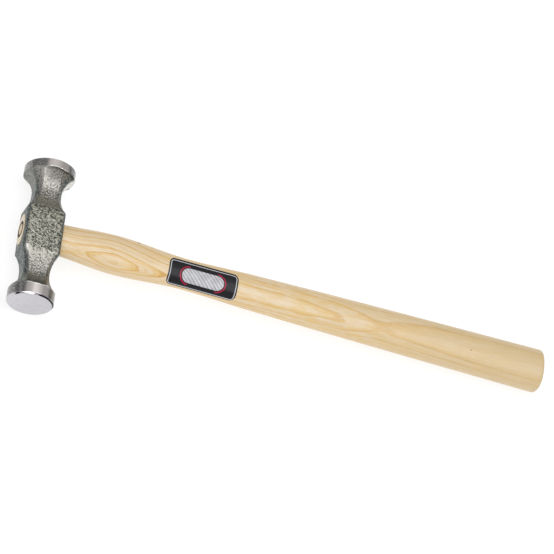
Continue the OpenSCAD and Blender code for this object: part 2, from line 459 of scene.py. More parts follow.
@dataclass(frozen=True)
class HeadFinish:
    """Lacquered forged steel on the block and necks, ground rims and polished faces, with painted shade and
    highlights.
    """

    ridge: Colour = (0.43, 0.425, 0.36)
    bare: Colour = (0.4, 0.382, 0.355)
    valley: Colour = (0.05, 0.057, 0.043)
    scale_tint: Colour = (0.27, 0.255, 0.2)
    # Dark coat colours that also paint the shade of the sides.
    side_shade_lacquer: Colour = (0.05, 0.068, 0.075)
    side_shade_thin_lacquer: Colour = (0.23, 0.26, 0.245)
    ground: Colour = (0.64, 0.595, 0.57)
    # Painted dark reflection on the rims' sides.
    rim_side_dark: Colour = (0.17, 0.175, 0.17)
    polished: Colour = (0.56, 0.548, 0.573)
    # Painted black for the dark reflections in the flat face's bevel and the shadow under the rims.
    painted_dark: Colour = (0.035, 0.035, 0.04)
    # Near white for burred edges, spots where the coat is worn, and a painted highlight.
    burr_and_highlight: Colour = (0.95, 0.93, 0.9)
    forged_rough: float = 0.3
    ground_rough: float = 0.2
    polished_rough: float = 0.2
    grit_depth: float = 0.1
    turning_depth: float = 0.006
    dark_reflection_from: float = 12.3
    dark_reflection_to: float = 13.05

    def material(self) -> bpy.types.Material:
        """Build the material from the numbers that the head's mesh holds.

        Returns:
            The material.
        """
        r = Recipe(bpy.data.materials.new("forged_and_ground_steel"))
        at = r.place()
        fine = r.noise(at, 1.9, 3.0, 0.62)
        speck = r.noise(at, 1.45, 2.0, 0.55)
        blot = r.noise(at, 0.85, 3.0, 0.65)
        turned = r.noise(at, (0.05, 9.0, 0.05), 3.0, 0.7)
        ground = r.step(r.attribute("ground_mm"), -0.05, 0.05)
        face = r.step(r.attribute("polish"), 0.4, 0.6)
        flecked = r.attribute("flecked")
        low = r.step(r.attribute("raised"), 0.62, 0.0) * (0.95 - flecked * 0.25)
        dark = r.math("ADD", low, r.step(speck, 0.5, 0.66, 0.0, 0.6) * flecked, clamp=True)
        forged = r.mix(r.step(r.noise(at, 0.16), 0.35, 0.7), self.ridge, shade(self.ridge, 0.88))
        forged = r.lay(forged, (
            (flecked, self.bare),
            (r.attribute("scale_tint") * r.step(speck, 0.3, 0.62, 0.9, 0.6), self.scale_tint),
            (dark * (1.0 - r.attribute("smoothed") * 0.4), self.valley),
            # Dark coat on the sides, which is also their painted shade.
            (r.attribute("lacquered_side_shade") * 0.85, r.mix(r.step(blot, 0.4, 0.6), self.side_shade_lacquer, self.side_shade_thin_lacquer)),
            # Near white where the coat is worn off at two spots, and a painted highlight on the right flare's
            # lower side.
            (r.attribute("rubbed") * r.step(blot, 0.35, 0.6, 0.45, 0.8), self.burr_and_highlight),
            # Painted shadow: a dark line on the flares just under the rims.
            (r.attribute("shadow_under_rim") * r.step(speck, 0.35, 0.6, 0.55, 1.0), self.painted_dark),
        ))
        # Painted light: the polished face is painted brighter towards -X.
        polished = r.lay(shade(self.polished, 1.09), (
            (r.step(r.split(at)[0], -14.0, 4.0), self.polished),
            (r.step(r.noise(at, 0.35), 0.35, 0.65, 0.0, 0.05), (0.0, 0.0, 0.0)),
        ))
        steel = r.lay(self.ground, (
            (r.step(turned, 0.3, 0.75), shade(self.ground, 0.84)),
            # Painted dark reflection on the rims' sides.
            (r.attribute("rim_side_shade") * r.step(blot, 0.4, 0.6, 0.65, 1.15), self.rim_side_dark),
            (r.attribute("burred"), self.burr_and_highlight),
            (face, polished),
            # Painted dark reflection: a black arc and a spot in the flat face's bevel.
            (self._bevel_dark_reflection(r, at), self.painted_dark),
        ))
        rough = r.blend(face, turned * 0.08 + self.ground_rough, self.polished_rough)
        rough = r.blend(ground, fine * 0.2 + self.forged_rough, rough)
        normal = r.bump(fine * (1.0 - ground), self.grit_depth)
        normal = r.bump(turned * (ground * (1.0 - face)), self.turning_depth, normal)
        return r.finish({
            "Base Color": r.mix(ground, forged, steel), "Metallic": 1.0, "Roughness": rough, "Normal": normal,
        })

    def _bevel_dark_reflection(self, r: Recipe, at: Value) -> Value:
        """Find where the flat face's bevel gets a painted dark reflection: a long arc and a spot.

        Args:
            r: the recipe.
            at: the place on the piece in millimetres.

        Returns:
            The share of painted dark reflection.
        """
        x, y, z = r.split(at)
        side = x * (1 / self.dark_reflection_to)
        arc = r.step(side, 0.04, 0.16) * r.step(z, -2.0, 3.0)
        spot = r.step(abs(side + 0.73), 0.09, 0.05) * r.step(z, 0.0, 2.0)
        bevel = r.band(r.length(x, z), self.dark_reflection_from, self.dark_reflection_to, 0.12) * r.step(y, 1.4, 1.2)
        return bevel * r.math("ADD", arc, spot, clamp=True)


@dataclass(frozen=True)
class AshFinish:
    """Clear lacquered ash, sawn nearly flat to its year rings, which turning has laid open as long arches.

    A place's depth in the blank gives its year, and the rings lean, bow and drift along the handle.
    """

    pale: Colour = (0.785, 0.635, 0.435)
    warm: Colour = (0.76, 0.53, 0.23)
    line: Colour = (0.64, 0.37, 0.085)
    blushed: Colour = (0.74, 0.5, 0.16)
    bleached: Colour = (0.78, 0.65, 0.48)
    # Painted shade: darker towards the butt, where less light falls.
    butt_falloff_shade: Colour = (0.65, 0.49, 0.27)
    knot: Colour = (0.3, 0.16, 0.06)
    end_grain: Colour = (0.82, 0.7, 0.49)
    golden: Colour = (0.74, 0.53, 0.22)
    # A dark band round the ring wedge's wall in the end grain.
    ring_dark_band: Colour = (0.13, 0.06, 0.045)
    wedge_r: float = 4.5
    end_x: float = -11.5
    butt_x: float = 308.5
    reach: float = 320.0
    axis_y: float = 44.0
    tilt: float = 0.89
    wave_depth: float = 0.7
    ripple_depth: float = 0.45
    lean: Pairs = (
        (0.0, 0.4), (45.0, 0.31), (80.0, 0.37), (120.0, 0.28), (185.0, 0.22), (212.0, 0.11), (240.0, 0.07),
        (320.0, 0.07),
    )
    bow: Pairs = ((0.0, -0.3), (60.0, -2.1), (140.0, 0.15), (220.0, -0.8), (320.0, -1.2))
    drift: Pairs = (
        (0.0, -2.2), (12.0, -1.15), (21.0, -0.3), (32.0, 0.17), (42.0, 0.4), (54.0, 0.84), (66.0, 0.9),
        (80.0, 0.67), (100.0, 0.32), (120.0, 1.04), (150.0, 1.56), (165.0, 2.03), (180.0, 2.53),
        (192.0, 3.49), (205.0, 4.02), (220.0, 3.65), (265.0, 3.5), (320.0, 4.0),
    )
    years: Pairs = (
        (-12.2, 0.0), (2.2, 8.0), (4.0, 9.0), (5.75, 10.0), (6.2, 10.5), (7.5, 11.0), (8.4, 12.0),
        (8.75, 12.45), (12.2, 14.0),
    )
    knots: Sequence[Row] = ((260.9, -3.1, 9.3, 0.32, 0.6), (55.5, 8.8, 5.5, 0.7, 0.9))

    def material(self) -> bpy.types.Material:
        """Build the material from the year rings' places in the blank.

        Returns:
            The material.
        """
        r = Recipe(bpy.data.materials.new("lacquered_ash"))
        at = r.vector("SUBTRACT", r.place(), (0.0, self.axis_y, 0.0))
        x, y, z = r.split(at)
        along = (0.0, self.reach)
        lean = r.curve(x, self.lean, along, (0.0, 1.0))
        bow = r.curve(x, self.bow, along, (-3.0, 3.0))
        drift = r.curve(x, self.drift, along, (-3.0, 5.0))
        wave, ripple = r.noise(at, (0.016, 0.09, 0.09)), r.noise(at, (0.07, 0.45, 0.45))
        depth = z * self.tilt - y * lean - bow * (y * y * 0.01) - drift
        depth = depth + (wave - 0.5) * self.wave_depth + (ripple - 0.5) * self.ripple_depth
        first, last = self.years[0], self.years[-1]
        year = r.curve(depth, self.years, (first[0], last[0]), (first[1], last[1]), straight=True)
        season = r.math("FRACT", year)
        ringed = r.ramp(season, (
            (0.0, self.pale), (0.04, self.line), (0.13, self.line), (0.24, self.warm), (0.55, self.pale),
            (1.0, self.pale),
        ))
        third = r.math("FRACT", year * 3.0 + 0.08)
        echo = r.step(third, 0.0, 0.08) * r.step(third, 0.5, 0.14)
        ringed = r.mix(echo * r.step(x, 95.0, 130.0, 0.42, 0.12), ringed, self.line)
        patch = r.noise(at, (0.02, 0.1, 0.1))
        loop = r.step(x, 125.0, 165.0) * r.step(x, 245.0, 205.0)
        clear = r.step(depth, -1.0, 6.0, 0.5, 1.0) * r.step(patch, 0.35, 0.65, 0.7, 1.0) * (1.0 - loop * 0.12)
        plain = tuple(0.5 * (a + b) for a, b in zip(self.warm, self.pale))
        mottle = r.noise(at, (0.03, 0.16, 0.16), 3.0, 0.6)
        thread = r.noise(at, (0.014, 0.85, 0.85), 3.0, 0.6)
        blush = r.noise(at, (0.1, 0.4, 0.4), 4.0, 0.65)
        fibre = r.noise(at, (0.09, 2.6, 2.6), 4.0, 0.65)
        grip = r.step(x, 95.0, 140.0, 0.25, 1.0) * r.step(x, 235.0, 200.0, 0.45, 1.0)
        pore = r.step(r.noise(at, (0.35, 5.0, 5.0), 1.0), 0.62, 0.72) * (1.0 - r.step(season, 0.04, 0.3))
        front = r.step(x, self.end_x + 0.2, self.end_x)
        # Painted shade on the butt's rounded edge.
        butt_edge_shade = r.step(x, self.butt_x - 0.9, self.butt_x - 0.3)
        butt_edge_shade = butt_edge_shade * r.step(x, self.butt_x + 0.12, self.butt_x, 0.15, 0.5)
        off = r.length(y, z)
        layers = [
            (clear, ringed),
            (r.step(mottle, 0.42, 0.72, 0.0, 0.65), self.warm),
            (r.step(thread, 0.54, 0.68, 0.0, 0.3), self.line),
            (r.step(blush, 0.47, 0.62, 0.0, 0.42) * grip, self.blushed),
            (r.step(blush, 0.5, 0.36, 0.0, 0.42) * grip, self.bleached),
            # Painted shade: the wood darkens towards the butt, where less light falls.
            (r.step(x, 130.0, 300.0, 0.0, 0.65), self.butt_falloff_shade),
            (pore * 0.4, self.knot),
            (front * 0.92, self.end_grain),
            # Painted shade on the butt's rounded edge.
            (butt_edge_shade, self.line),
            (front * r.step(off, self.wedge_r - 0.8, self.wedge_r - 1.1) * 0.9, self.golden),
            # A dark band is painted round the ring wedge's wall in the end grain.
            (front * r.step(abs(off - (self.wedge_r - 0.5)), 1.45, 0.85) * 0.9, self.ring_dark_band),
        ]
        for kx, ky, kz, size, strength in self.knots:
            away = r.vector("DISTANCE", at, (kx, ky, kz))
            layers.append((r.step(away, size * 2.4, size, 0.0, strength), self.knot))
        wood = r.vector("MULTIPLY", r.lay(plain, layers), r.step(fibre, 0.3, 0.7, 0.94, 1.045))
        return r.finish({
            "Base Color": wood, "Roughness": fibre * 0.16 + 0.34, "Normal": r.bump(fibre - pore * 0.6, 0.025),
            "Specular IOR Level": 0.45, "Coat Weight": 0.4, "Coat Roughness": 0.25,
        })


@dataclass(frozen=True)
class WedgeFinish:
    """Dark drawn steel with lighter rubbed streaks along it."""

    steel: Colour = (0.04, 0.022, 0.018)
    rubbed: Colour = (0.07, 0.04, 0.035)
    glint: Colour = (0.12, 0.06, 0.07)

    def material(self) -> bpy.types.Material:
        """Build the material.

        Returns:
            The material.
        """
        r = Recipe(bpy.data.materials.new("drawn_steel"))
        at = r.place()
        drawn = r.noise(at, (0.3, 3.0, 3.0), 4.0, 0.7)
        return r.finish({
            "Base Color": r.mix(r.step(drawn, 0.45, 0.8), self.steel, self.rubbed), "Metallic": 0.9,
            "Roughness": r.noise(at, 1.6, 3.0) * 0.25 + 0.38, "Normal": r.bump(drawn, 0.02),
            "Specular Tint": self.glint,
        })


@dataclass(frozen=True)
class LabelFinish:
    """Printed gloss film: black ground, a silver panel with fine lines, and a red arc at each end of it."""

    black: Colour = (0.012, 0.012, 0.015)
    silver: Colour = (0.62, 0.62, 0.65)
    grey: Colour = (0.36, 0.36, 0.39)
    ink: Colour = (0.1, 0.1, 0.12)
    red: Colour = (0.42, 0.012, 0.05)
    film: Row = (20.75, 8.4, 3.0)
    panel: Row = (12.6, 4.4, 4.4)
    border: Pair = (0.75, 1.2)
    arc: Pair = (-1.35, -0.65)
    hatch_per_mm: float = 1.25

    def _inside(self, r: Recipe, u: Value, v: Value, size: Row) -> Value:
        """Find how far a place on the label is inside a rounded rectangle.

        Args:
            r: the recipe.
            u: distance along the label from its middle.
            v: distance across it.
            size: half length, half width and corner radius.

        Returns:
            The distance in millimetres, negative outside.
        """
        long, wide, corner = size
        past_u = r.math("MAXIMUM", abs(u) - (long - corner), 0.0)
        past_v = r.math("MAXIMUM", abs(v) - (wide - corner), 0.0)
        return corner - r.length(past_u, past_v)

    def material(self) -> bpy.types.Material:
        """Build the material from the places that the label's mesh holds.

        Returns:
            The material.
        """
        r = Recipe(bpy.data.materials.new("printed_film"))
        at = r.place()
        u, v = r.attribute("label_u"), r.attribute("label_v")
        gloss = r.noise(at, 0.8)
        hatch = abs(r.math("SINE", (u + v) * self.hatch_per_mm))
        foil = r.lay(self.silver, (
            (r.step(r.noise(at, 0.3), 0.35, 0.65, 0.0, 0.45), self.grey),
            (r.step(hatch, 0.34, 0.2, 0.0, 0.8), self.ink),
        ))
        inside = self._inside(r, u, v, self.panel)
        straight = self.panel[0] - self.panel[2]
        printed = r.lay(self.black, (
            (r.band(self._inside(r, u, v, self.film), *self.border, 0.1), self.silver),
            (r.step(inside, 0.0, 0.12), foil),
            (r.band(inside, *self.arc, 0.1) * r.step(abs(u), straight, straight + 0.2), self.red),
        ))
        return r.finish({
            "Base Color": printed, "Roughness": gloss * 0.12 + 0.2, "Normal": r.bump(gloss, 0.01),
            "Specular IOR Level": 0.25,
        })


@dataclass(frozen=True)
class FloorFinish:
    """Plain pale studio floor, lit from below under the hammer and fading to grey beside it and far away."""

    paint: Colour = (0.24, 0.24, 0.24)
    lit: Colour = (0.82, 0.82, 0.82)
    unlit: Colour = (0.2, 0.202, 0.205)
    lit_middle: Triple = (260.0, 60.0, 0.0)
    lit_from: Triple = (-21.0, 44.0, 0.0)
    lit_towards: Triple = (0.99, 0.141, 0.0)
    side_fade: float = 160.0
    far_fade: Pair = (1500.0, 600.0)

    def material(self) -> bpy.types.Material:
        """Build the material.

        Returns:
            The material.
        """
        r = Recipe(bpy.data.materials.new("studio_floor"))
        at = r.place()
        inwards = r.vector("DOT_PRODUCT", r.vector("SUBTRACT", at, self.lit_from), self.lit_towards)
        away = r.vector("DISTANCE", at, self.lit_middle)
        share = r.step(inwards, -self.side_fade, 0.0) * r.step(away, *self.far_fade)
        paint = r.mix(r.step(r.noise(at, 0.05, 3.0), 0.3, 0.7), self.paint, shade(self.paint, 0.99))
        return r.finish({
            "Base Color": paint, "Roughness": 0.85, "Specular IOR Level": 0.1,
            "Emission Color": r.mix(share, self.unlit, self.lit), "Emission Strength": 1.0,
        })


# The pieces


@dataclass(frozen=True)
class HandleForm:
    """The handle's shape, which the eye, the label and the handle itself all follow."""

    block_x: float = 11.2
    axis_y: float = 44.0
    eye_mouth_y: float = 9.5
    eye_mouth_z: float = 6.15
    eye_waist: float = 0.5
    swell_at: float = 44.0
    swell_y: float = 11.4
    waist_at: float = 86.0
    waist_y: float = 9.1
    grip_at: float = 125.0
    grip_y: float = 10.4
    reach: float = 309.0
    butt_y: float = 13.2
    oval: float = 0.75
    squarer: float = 0.25

    def halves(self, x: Array) -> Array:
        """Work out the handle's half height and half thickness.

        Args:
            x: distances from the middle of the eye.

        Returns:
            A row of half heights and a row of half thicknesses.
        """
        oval = self.oval
        # Rows of x, half height, its slope, half thickness and its slope.
        table = np.array([
            [self.block_x, self.eye_mouth_y, 0.03, self.eye_mouth_z, 0.11],
            [self.swell_at, self.swell_y, 0, self.swell_y * oval, 0],
            [self.waist_at, self.waist_y, 0, self.waist_y * oval, 0],
            [self.grip_at, self.grip_y, 0.024, self.grip_y * oval, 0.018],
            [self.reach, self.butt_y, 0.012, self.butt_y * oval, 0.009],
        ])
        i = np.clip(np.searchsorted(table[:, 0], x, side="right") - 1, 0, len(table) - 2)
        p, q = table[i].T, table[i + 1].T
        step = q[0] - p[0]
        t = (x - p[0]) / step
        free = p[1::2] * (2 * t**3 - 3 * t**2 + 1) + p[2::2] * step * (t**3 - 2 * t**2 + t)
        free = free + q[1::2] * (3 * t**2 - 2 * t**3) + q[2::2] * step * (t**3 - t**2)
        mouth = np.array([[self.eye_mouth_y], [self.eye_mouth_z]])
        return np.where(x < self.block_x, mouth - self.eye_waist * (1 - (x / self.block_x) ** 2), free)

    def points(self, x: Array, turn: Array, inset: float = 0.0) -> Array:
        """Find points on the skin. Turn 0 is +Z and a quarter turn is -Y.

        Args:
            x: distances from the middle of the eye.
            turn: as many angles, in radians.
            inset: how far under the skin.

        Returns:
            One row for each point.
        """
        power = 2 + self.squarer * np.clip((x - self.block_x) / (self.swell_at - self.block_x), 0, 1)
        s, c, (high, thick) = np.sin(turn), np.cos(turn), self.halves(x) - inset
        y = -np.sign(s) * np.abs(s) ** (2 / power) * high
        z = np.sign(c) * np.abs(c) ** (2 / power) * thick
        return np.stack([x, self.axis_y + y, z], -1)

    def ring(self, shape_x: float, inset: float, x: float, sides: int) -> Array:
        """Make a ring that has the section of one place and stands at another.

        Args:
            shape_x: where the section is taken.
            inset: how far under the skin.
            x: where the ring stands.
            sides: number of points.

        Returns:
            One row for each point.
        """
        ring = self.points(np.full(sides, float(shape_x)), full_circle(sides), inset)
        ring[:, 0] = x
        return ring


@dataclass
class Head:
    """The forging: an eye block, two octagonal necks that flare to round rims, and two ground faces."""

    form: HandleForm
    finish: HeadFinish = field(default_factory=HeadFinish)
    flat_reach: float = 44.0
    crown_reach: float = 43.2
    block_w: float = 22.4
    block_l: float = 26.0
    block_t: float = 17.7
    block_chamfer: float = 1.3
    neck_w: float = 15.6
    neck_t: float = 14.2
    flat_neck_chamfer: float = 2.3
    crown_neck_chamfer: float = 2.8
    flat_neck_at: float = 26.0
    crown_neck_at: float = 24.8
    neck_gap: float = 1.2
    flat_face_d: float = 26.5
    flat_rim_l: float = 7.0
    flat_bevel: float = 0.9
    crown_face_d: float = 29.2
    crown_rim_l: float = 5.1
    crown_radius: float = 75.0
    crown_bevel: float = 0.6
    edge_round: float = 34.0
    shoulder_blend: float = 0.35
    flare_blend: float = 0.05
    rim_blend: float = 0.08
    side_clear: float = 6.0
    lathe_clear: float = 40.0
    worm_pitch: Triple = (1.7, 0.9, 1.15)
    fleck_pitch: float = 0.8
    bend_pitch: float = 2.0
    swell_pitch: float = 7.0
    pit_depth: float = 0.12
    swell_depth: float = 0.05
    mouth_calm: Pair = (9.6, 11.5)
    mouth_oval: float = 1.5
    sides: int = 312
    skin_step: float = 0.285
    skin_reach: float = 37.6
    rim_ease: float = 0.004
    mouth_ease: float = 0.14
    overrun: float = 0.8
    eye_sides: int = 120

    def crown_edge(self) -> float:
        """Return the distance from the eye to the edge of the crowned face."""
        half = self.crown_face_d / 2
        return self.crown_reach - (self.crown_radius - math.sqrt(self.crown_radius**2 - half**2))

    def side_at(self, t: Array, half_block: float, crown_neck: float, flat_neck: float) -> Array:
        """Work out how far one pair of the head's sides is from its axis.

        Args:
            t: where along the head.
            half_block: the distance on the block.
            crown_neck: the distance on the crowned face's neck.
            flat_neck: the distance on the flat face's neck.

        Returns:
            The distance at each t.
        """
        found = np.empty_like(t)
        crown_rim, flat_rim = self.crown_edge() - self.crown_rim_l, self.flat_reach - self.flat_rim_l
        arms = (
            (t >= 0, crown_neck, self.crown_neck_at, self.crown_face_d / 2, crown_rim),
            (t < 0, flat_neck, self.flat_neck_at, self.flat_face_d / 2, flat_rim),
        )
        for which, half_neck, neck_at, face_r, rim_at in arms:
            out = np.abs(t[which])
            far = face_r + self.side_clear
            fall_end, climb_start = neck_at - self.neck_gap / 2, neck_at + self.neck_gap / 2
            fall, climb = half_block - half_neck, face_r - half_neck
            fall_r = ((fall_end - self.block_l / 2) ** 2 + fall**2) / (2 * fall)
            climb_r = ((rim_at - climb_start) ** 2 + climb**2) / (2 * climb)
            drop = half_neck + fall_r - np.sqrt(np.maximum(fall_r**2 - (out - fall_end) ** 2, 0))
            drop = np.where(out < climb_start, drop, far)
            flare = half_neck + climb_r - np.sqrt(np.maximum(climb_r**2 - (out - climb_start) ** 2, 0))
            flare = np.where((out > fall_end) & (out - climb_start < climb_r * 0.98), flare, far)
            block = np.where(out < fall_end, half_block, far)
            found[which] = soft_min(soft_min(block, drop, self.shoulder_blend), flare, self.flare_blend)
        return found

    def radii(self, t: Array, turn: Array) -> tuple[Array, Array]:
        """Work out the forging's radius, and the lathe's, which is far outside it between the necks.

        Args:
            t: where along the head.
            turn: as many angles round the head's axis, from +X to +Z.

        Returns:
            The forging's radii and the lathe's.
        """
        block_x, block_z, neck_x, neck_z = (
            size / 2 for size in (self.block_w, self.block_t, self.neck_w, self.neck_t)
        )
        root = math.sqrt(2)
        block_d = (block_x + block_z - self.block_chamfer) / root
        crown_d = (neck_x + neck_z - self.crown_neck_chamfer) / root
        flat_d = (neck_x + neck_z - self.flat_neck_chamfer) / root
        total = np.zeros_like(t)
        for angle, *sizes in (
            (0, block_x, neck_x, neck_x), (90, block_z, neck_z, neck_z),
            (45, block_d, crown_d, flat_d), (-45, block_d, crown_d, flat_d),
        ):
            share = np.abs(np.cos(turn - math.radians(angle)))
            total += (share / self.side_at(t, *sizes)) ** self.edge_round
        rim = np.where(t > 0, self.crown_face_d / 2, self.flat_face_d / 2) - self.rim_ease
        beyond = np.where(t > 0, t - self.crown_neck_at, -t - self.flat_neck_at) > 0
        return total ** (-1 / self.edge_round), np.where(beyond, rim, self.lathe_clear)

    def on_block(self, t: Array) -> Array:
        """Return 1 on the eye block, 0 on the necks and what is between on the slopes."""
        return 1 - rise(10.0, 20.0, np.abs(t))

    def raised(self, points: Array, t: Array) -> Array:
        """Work out how high the skin stands: wormy ridges on the block and finer flecks on the necks.

        Args:
            points: places in millimetres.
            t: where they are along the head.

        Returns:
            A value from 0 to 1 for each point.
        """
        x = points[:, 0]
        coarse, bend, small = Relief(4), Relief(9), Relief(21)
        shift = np.stack([bend.at(points + k * 17.0, self.bend_pitch) for k in range(3)], -1)
        combed = points.copy()
        combed[:, 1] += 0.4 * x
        worms = 1 - rise(0.02, 0.3, np.abs(coarse.at(combed + 0.5 * shift, self.worm_pitch)))
        worms = worms * (0.75 + 0.25 * rise(-0.5, 0.2, small.at(points, 1.4)))
        # This term thins the flecks, so pits grow deeper and darker: on the crowned side up to its neck, a
        # little on the flat neck, fully on the flat flare, on the crowned flare's right and on the right
        # side.
        pit_gain = np.where(t > 0, rise(28.0, 22.0, t), np.maximum(0.3, rise(-19.0, -28.0, t)))
        pit_gain = pit_gain + 0.7 * rise(32.0, 36.0, t) * rise(-3.0, 0.5, x)
        pit_gain = pit_gain + 0.5 * rise(1.0, 7.0, x)
        flecks = small.at(points + 0.3 * shift, self.fleck_pitch) - 0.32 * pit_gain
        flecks = 0.2 + 0.8 * rise(-0.42, 0.22, flecks)
        block = self.on_block(t)
        return np.clip(worms * block + flecks * (1 - block), 0, 1)

    def ends(self) -> tuple[Pairs, Pairs]:
        """Work out the lathe's profile at both faces, each from its bevel inwards.

        Returns:
            Pairs of t and radius for the flat face, and then for the crowned one.
        """
        r, b, f = self.flat_face_d / 2 - self.rim_ease, self.flat_bevel, -self.flat_reach
        flat = [
            (f + b + 0.12, r), (f + b, r - 0.025), (f + b - 0.1, r - 0.12), (f + 0.1, r - b + 0.12),
            (f + 0.03, r - b + 0.02), (f, r - b - 0.1),
        ]
        flat += [(f, (r - b) * share) for share in (0.94, 0.85, 0.7, 0.5, 0.3, 0.12)]
        r, b, c = self.crown_face_d / 2 - self.rim_ease, self.crown_bevel, self.crown_edge()
        crown = [(c - b - 0.12, r), (c - b, r - 0.025), (c - b + 0.1, r - 0.12), (c - 0.08, r - b + 0.1)]
        crown.append((c, r - b))
        ball_r, ball_at = self.crown_radius, self.crown_reach - self.crown_radius
        for ring in ((r - b) * share for share in (0.975, 0.93, 0.85, 0.7, 0.5, 0.3, 0.12)):
            crown.append((ball_at + math.sqrt(ball_r**2 - ring**2), ring))
        return flat, crown

    def places(self, t: Array, radius: Array | float, turn: Array) -> Array:
        """Return the places at distances, radii and angles on the head's axis, one row each."""
        return np.stack([radius * np.cos(turn), self.flat_reach + t, radius * np.sin(turn)], -1)

    def build(self) -> Object:
        """Build the head's skin as rings round its axis, cut the eye through it, and dress it.

        Returns:
            The head.
        """
        flat, crown = self.ends()
        dense = self.skin_reach
        rows = np.concatenate([
            np.linspace(flat[0][0] + 0.1, -dense, 9, endpoint=False),
            np.linspace(-dense, dense, round(2 * dense / self.skin_step)),
            np.linspace(dense, crown[0][0] - 0.1, 7)[1:],
        ])
        turns = full_circle(self.sides)
        t, turn = (a.ravel() for a in np.meshgrid(rows, turns, indexing="ij"))
        forged, lathe = self.radii(t, turn)
        radius = soft_min(forged, lathe, self.rim_blend)
        skin = self.places(t, radius, turn)
        # The relief stops at the rims, and round the eye's mouths, where the wood meets clean steel.
        mouth = np.hypot(skin[:, 1] - self.form.axis_y, skin[:, 2] * self.mouth_oval)
        at_mouth = np.abs(skin[:, 0]) > self.block_w / 2 - 0.6
        free = rise(0.0, 0.5, lathe - forged) * np.where(at_mouth, rise(*self.mouth_calm, mouth), 1.0)
        swell = Relief(33).at(skin, self.swell_pitch)
        depth = free * (self.pit_depth * (1 - self.raised(skin, t)) + self.swell_depth * (1 + swell))
        skin[:, [0, 2]] -= (depth / radius)[:, None] * skin[:, [0, 2]]
        before, after = (
            [self.places(np.full_like(turns, at), r, turns) for at, r in end] for end in (flat[::-1], crown)
        )
        rings = [*before, *skin.reshape(-1, self.sides, 3), *after]
        head = close_skin("head_forging", rings, [[0, 0, 0], [0, self.flat_reach + self.crown_reach, 0]])
        cut_away(head, self.eye())
        self.mark(head)
        dress(head, self.finish.material(), 38)
        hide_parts("head")
        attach(head, "root")
        return head

    def eye(self) -> Object:
        """Build the tool that cuts the eye: the tenon's shape, eased a little at each mouth.

        Returns:
            The tool.
        """
        reach = self.block_w / 2
        mouth = (reach + 0.2, reach + self.overrun)
        xs = np.concatenate([[-mouth[1], -mouth[0]], np.linspace(-reach + 0.25, reach - 0.25, 9), mouth])
        ease = np.where(np.abs(xs) > reach, self.mouth_ease, 0.0)
        held = np.clip(xs, -reach, reach - JUST_UNDER)
        rings = [self.form.ring(h, -e, x, self.eye_sides) for x, h, e in zip(xs, held, ease)]
        return close_skin("eye_tool", rings, [[x, self.form.axis_y, 0] for x in (xs[0], xs[-1])])

    def mark(self, head: Object) -> None:
        """Store on the mesh where the head is ground, polished, raised, tinted, coated and rubbed, and its
        painted shade and highlight.

        Args:
            head: the head.
        """
        flat = np.empty(len(head.data.vertices) * 3)
        head.data.vertices.foreach_get("co", flat)
        points = flat.reshape(-1, 3) / MM
        x, t, z = points[:, 0], points[:, 1] - self.flat_reach, points[:, 2]
        forged, lathe = self.radii(t, np.arctan2(z, x))
        over = forged - lathe
        right = x > 0
        beside = np.abs(x) / np.maximum(np.hypot(x, z), 0.1)
        flat_end, crown_end = self.flat_bevel - self.flat_reach, self.crown_edge() - self.crown_bevel
        end = (t < flat_end + 0.2) | (t > crown_end - 0.2)
        smoothed = rise(12.5, 15.5, t) * (1 - rise(18.5, 21.5, t))
        smoothed = np.maximum(smoothed, rise(-27.5, -30.0, t))
        tint = np.maximum(smoothed, 0.45 * rise(-4.0, 12.0, t) * (1 - rise(12.0, 21.0, t)))

        # Lacquer on the sides also paints their shade; it is thin on the left flares, and worn off at a
        # corner and a brow.
        edge = 0.73 - np.where(right, 0.0, 0.09) * rise(-14.0, -22.0, t)
        corner = soft_spot(t, x, (-14.2, -9.0), (1.9, 1.7)) * rise(0.77, 0.72, beside)
        worn = (corner + 0.75 * soft_spot(t, x, (33.0, -4.2), (3.0, 1.7))) * (z > 5)
        side_shade_eased = np.where(right, 0.0, 0.45 * rise(21.0, 31.0, t) + 0.3 * rise(-27.0, -32.0, t))
        # Painted highlight: the right flare's lower side is painted near white where it faces the floor.
        lit_side = right * rise(0.86, 0.93, beside) * rise(27.0, 29.0, t)
        lit_side = lit_side * rise(-5.5, -2.5, z)
        # Painted shade on the right flare's chamfer.
        painted_chamfer_shade = right * 0.8 * rise(0.45, 0.7, beside) * rise(26.0, 31.0, t)
        lacquered_side_shade = np.maximum(rise(edge, edge + 0.06, beside) * (1 - side_shade_eased), painted_chamfer_shade)

        # The rims' sides get a painted dark reflection, with a painted shadow under the rims and a bright
        # burred lower edge.
        from_left = np.where(t > 0, 0.27, 0.4)
        rim_shade_right = rise(0.4, 0.65, beside) * (1 - 0.7 * rise(0.8, 0.93, beside))
        rim_shade_left = 0.85 * rise(from_left, from_left + 0.14, beside)
        shown = np.where(t > 0, 1 - rise(-1.0, -6.0, x), 1.0)
        burred = rise(1.3, 0.8, over) * rise(-8.0, -4.0, x) * shown * rise(9.0, 5.0, x)
        put_attributes(head, {
            "ground_mm": np.where(end, 1.0, np.clip(over, -1, 1)),
            "rim_side_shade": np.where(right, rim_shade_right, rim_shade_left),
            "polish": (t < flat_end + 0.06) | (t > crown_end - 0.06),
            "raised": self.raised(points, t),
            "flecked": (1 - 0.7 * self.on_block(t)) * (1 - 0.45 * tint),
            "scale_tint": tint,
            "smoothed": smoothed,
            # Wear at two spots, and the painted highlight on the right flare.
            "rubbed": np.maximum(lit_side, 0.7 * worn),
            # Painted shadow under the rims, left off where the painted highlight lies.
            "shadow_under_rim": 0.75 * rise(-1.5, -0.7, over) * shown * (1 - lit_side),
            "burred": np.where(end, 0.0, 0.8 * burred),
            "lacquered_side_shade": lacquered_side_shade * (1 - lit_side) * (1 - worn),
        })


